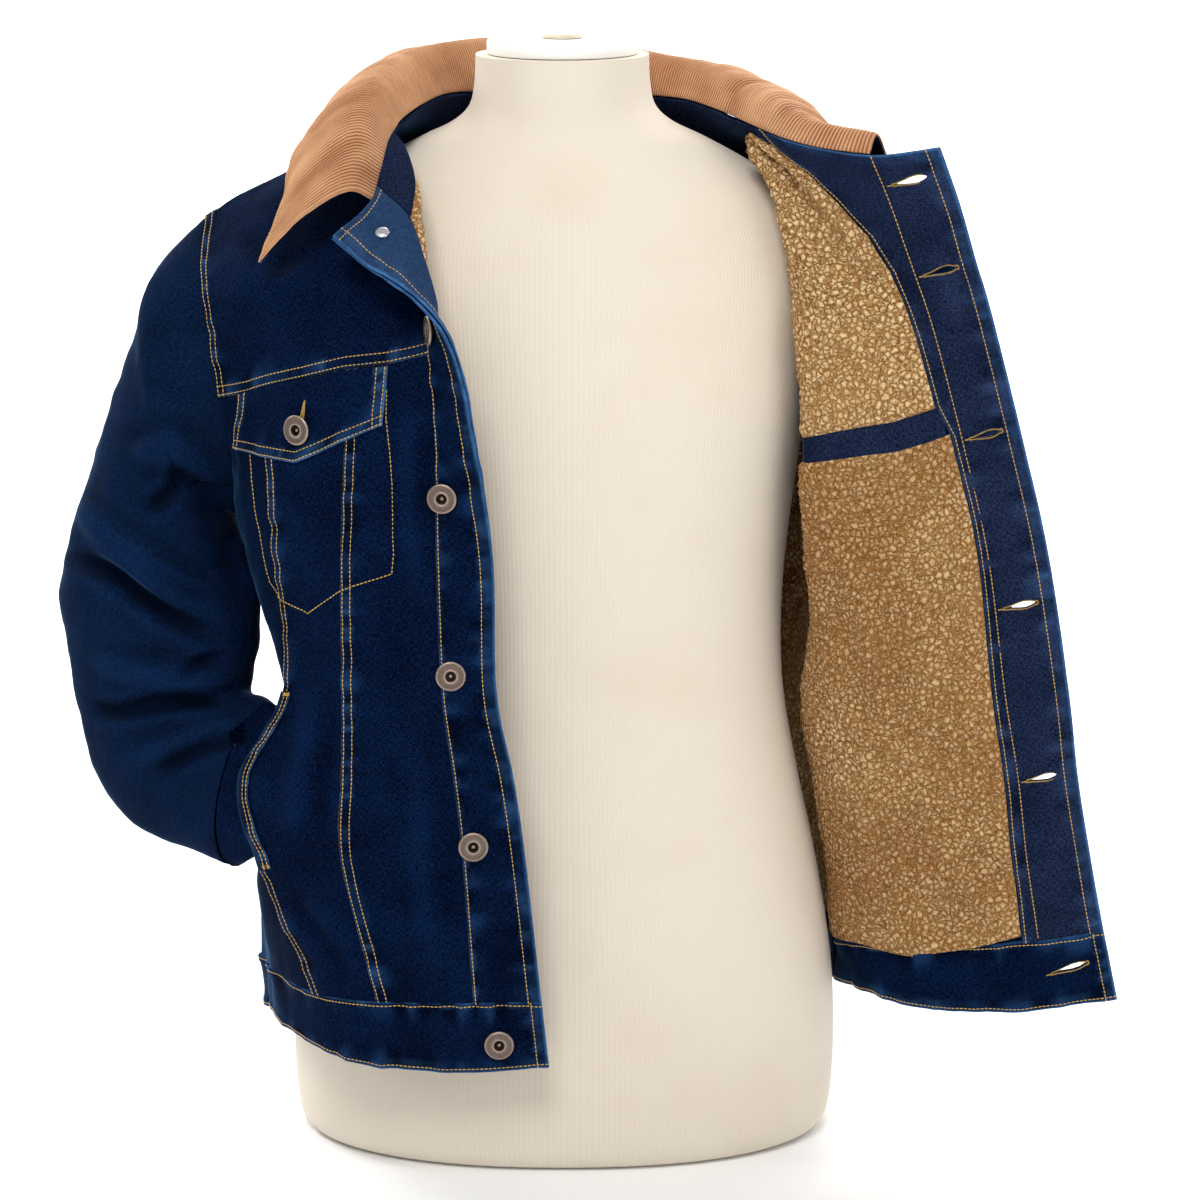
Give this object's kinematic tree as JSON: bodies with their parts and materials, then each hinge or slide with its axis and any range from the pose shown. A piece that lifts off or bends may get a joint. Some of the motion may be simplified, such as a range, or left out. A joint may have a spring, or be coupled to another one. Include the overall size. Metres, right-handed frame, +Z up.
{
  "type": "denim jacket on a dress form",
  "caption": "Pile-lined denim trucker jacket with a corduroy collar, one front turned open and one sleeve end in its pocket, resting on a limbless dress form.",
  "frame": {"origin": "centre of the dress form's flat base, on the floor", "axes": "+Z up, -Y towards the viewer that the jacket's front faces, +X to that viewer's right, the side of the opened left front"},
  "size_m": [0.7746, 0.3455, 0.8161],
  "materials": {
    "button_brass": "antique copper plate",
    "corduroy": "brown cotton corduroy",
    "denim": "indigo cotton twill denim, washed, with worn seam edges",
    "facing_denim": "unwashed dark indigo denim",
    "jersey": "cream rib-knit jersey cover",
    "knob_wood": "clear-varnished",
    "pile": "golden tan curly pile"
  },
  "bodies": {
    "root": {"back_centre": "denim", "back_side_left": "denim", "back_side_right": "denim", "back_yoke": "denim", "button_band": "denim", "buttonhole_band": "denim", "cuff_button_left": "button_brass", "cuff_left": "denim", "cuff_right": "denim", "dress_form": "jersey", "facing_left": "facing_denim", "facing_right": "facing_denim", "flap_button_left": "button_brass", "flap_button_right": "button_brass", "form_knob": "knob_wood", "form_neck_cap": "jersey", "front_button_1": "button_brass", "front_button_2": "button_brass", "front_button_3": "button_brass", "front_button_4": "button_brass", "front_button_5": "button_brass", "front_button_6": "button_brass", "front_centre_left": "denim", "front_centre_right": "denim", "front_middle_left": "denim", "front_middle_right": "denim", "front_side_left": "denim", "front_side_right": "denim", "front_yoke_left": "denim", "front_yoke_right": "denim", "inner_pocket_edge": "facing_denim", "lining_back": "pile", "lining_left_lower": "pile", "lining_left_upper": "pile", "lining_right": "pile", "neck_facing_back": "facing_denim", "neck_facing_left": "facing_denim", "neck_facing_right": "facing_denim", "pocket_flap_left": "denim", "pocket_flap_right": "denim", "pocket_welt_left": "denim", "pocket_welt_right": "denim", "tab_button_left": "button_brass", "tab_button_right": "button_brass", "top_collar": "corduroy", "top_rivet": "button_brass", "top_sleeve_left": "denim", "top_sleeve_right": "denim", "under_collar": "denim", "under_sleeve_left": "denim", "under_sleeve_right": "denim", "waist_tab_left": "denim", "waist_tab_right": "denim", "waistband_back": "denim", "waistband_left": "denim", "waistband_right": "denim"}
  },
  "joints": []
}
